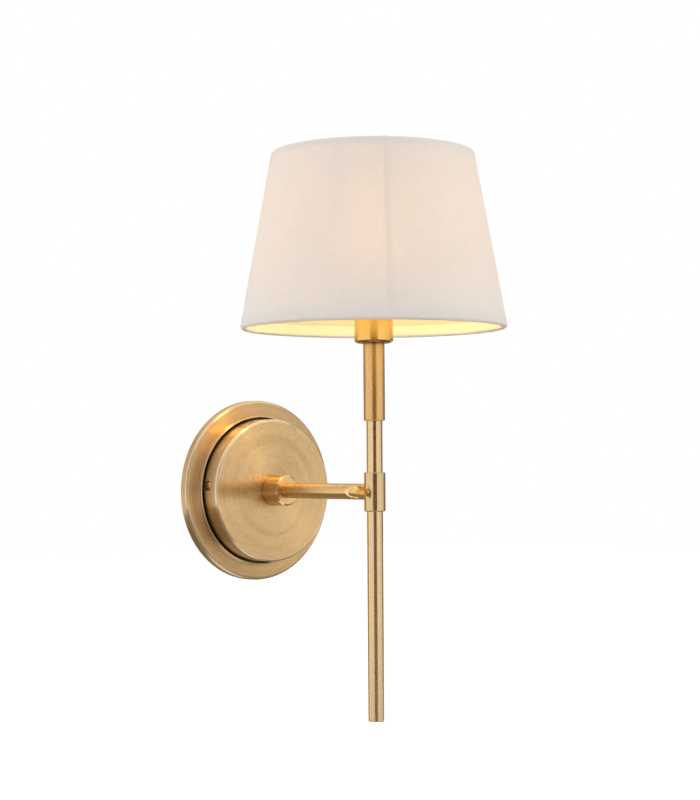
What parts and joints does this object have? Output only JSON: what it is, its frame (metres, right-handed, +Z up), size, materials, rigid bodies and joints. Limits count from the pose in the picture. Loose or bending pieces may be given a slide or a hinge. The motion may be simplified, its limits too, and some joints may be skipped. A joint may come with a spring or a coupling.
{
  "type": "wall light",
  "caption": "Brass wall light with a round plate and drum, an arm, a clamped rod that slides up and down, and a tapered fabric shade round the bulb.",
  "frame": {"origin": "on the wall, midway between the two wall screw slots, at the arm's height", "axes": "+Z up along the rod, +Y into the wall, +X to the right seen from the room"},
  "size_m": [0.1992, 0.2476, 0.4235],
  "materials": {
    "brushed_brass": "satin brushed, lacquered",
    "polished_brass": "polished",
    "raw_brass": "machined",
    "zinc_steel": "zinc plated",
    "screw_bronze": "dark bronze plated",
    "white_nylon": "moulded",
    "black_moulding": "moulded",
    "clear_sheath": "flex sheath",
    "brown_core": "brown core insulation",
    "blue_core": "blue core insulation",
    "earth_core": "green and yellow core insulation",
    "steatite": "unglazed",
    "white_wire": "white coated wire",
    "liner": "white laminate",
    "linen": "plain woven linen",
    "frosted_glass": "frosted",
    "nickel": "plated",
    "light_stick": "lit filament sticks on a glass stem"
  },
  "bodies": {
    "wall_side": {"wall_plate": "brushed_brass", "mounting_bracket": "zinc_steel", "bracket_rivets": "zinc_steel", "drum_cover": "brushed_brass", "cover_screws": "screw_bronze", "terminal_block": "white_nylon", "terminal_poles": "raw_brass", "terminal_clamp_screws": "zinc_steel", "terminal_block_screw": "zinc_steel", "earth_washer": "raw_brass", "earth_screw": "raw_brass", "arm_boss": "brushed_brass", "arm_nipple": "zinc_steel", "nipple_washer": "zinc_steel", "nipple_nut": "zinc_steel", "arm_tube": "brushed_brass", "stem_collar": "brushed_brass", "cable_bush": "white_nylon", "arm_flex": "clear_sheath", "live_core": "brown_core", "neutral_core": "blue_core", "earth_core": "earth_core"},
    "stem": {"stem_rod": "brushed_brass", "rod_end_plug": "brushed_brass", "stem_sleeve": "brushed_brass", "sleeve_nipple": "zinc_steel", "lampholder_cup": "brushed_brass", "cup_nut": "zinc_steel", "lampholder_body": "black_moulding", "contact_base": "steatite", "lampholder_terminals": "raw_brass", "centre_contact": "raw_brass", "lampholder_shell": "nickel", "shade_ring_nut": "black_moulding", "bulb_cap": "nickel", "bulb_envelope": "frosted_glass", "bulb_filaments": "light_stick", "shade_carrier": "white_wire", "shade_bottom_ring": "white_wire", "shade_liner": "liner", "shade_cover": "linen", "stem_flex": "clear_sheath", "lampholder_cores": "brown_core"},
    "grip": {"grip_pad": "white_nylon"},
    "thumb": {"thumbscrew": "polished_brass", "thumbscrew_stud": "raw_brass"}
  },
  "joints": [
    {"name": "stem_height", "type": "slide", "parent": "wall_side", "child": "stem", "axis": [0, 0, 1], "range_m": [-0.038, 0.14]},
    {"name": "thumbscrew_feed", "type": "slide", "parent": "wall_side", "child": "grip", "axis": [-1, 0, 0], "range_m": [0, 0.00105]},
    {"name": "thumbscrew_turn", "type": "hinge", "parent": "grip", "child": "thumb", "pos_m": [-0.0085, -0.148, 0], "axis": [-1, 0, 0], "range_deg": [0, 540]}
  ],
  "couplings": [
    {"joint": "thumbscrew_turn", "follows": "thumbscrew_feed", "rad_per_m": 8976}
  ]
}
